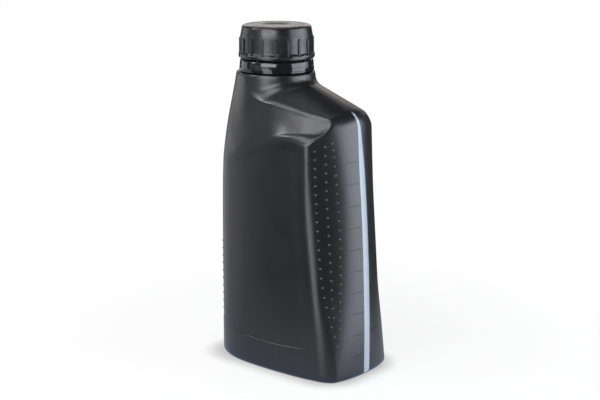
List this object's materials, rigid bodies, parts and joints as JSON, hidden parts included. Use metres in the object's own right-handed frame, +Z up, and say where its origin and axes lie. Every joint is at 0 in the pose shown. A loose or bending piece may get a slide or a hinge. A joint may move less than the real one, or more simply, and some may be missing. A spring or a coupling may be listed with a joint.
{
  "type": "lubricant bottle",
  "caption": "Slim blown plastic oil bottle with an offset screw neck, scooped shoulder, gripping side and see-through level strip, closed by a ribbed cap with a tamper band.",
  "frame": {"origin": "middle of the bottle's box, at the level it stands on", "axes": "+Z up, +X along the width towards the view strip and away from the neck, -Y faces the front label panel; Y = 0 is the parting plane"},
  "size_m": [0.1154, 0.0718, 0.2274],
  "materials": {
    "black_hdpe": "satin, with a pale translucent strip down the +X side",
    "black_pp": "gloss",
    "white_foam": "matt"
  },
  "bodies": {
    "bottle": {"bottle": "black_hdpe", "tamper_band": "black_pp"},
    "liner": {"cap_liner": "white_foam"},
    "cap": {"cap": "black_pp"}
  },
  "joints": [
    {"name": "cap_lift", "type": "slide", "parent": "bottle", "child": "liner", "axis": [0, 0, 1], "range_m": [0, 0.0202]},
    {"name": "cap_turn", "type": "hinge", "parent": "liner", "child": "cap", "pos_m": [-0.0202, 0, 0.2], "axis": [0, 0, 1], "range_deg": [0, 1800]}
  ],
  "couplings": [
    {"joint": "cap_lift", "follows": "cap_turn", "m_per_rad": 0.00063662}
  ]
}
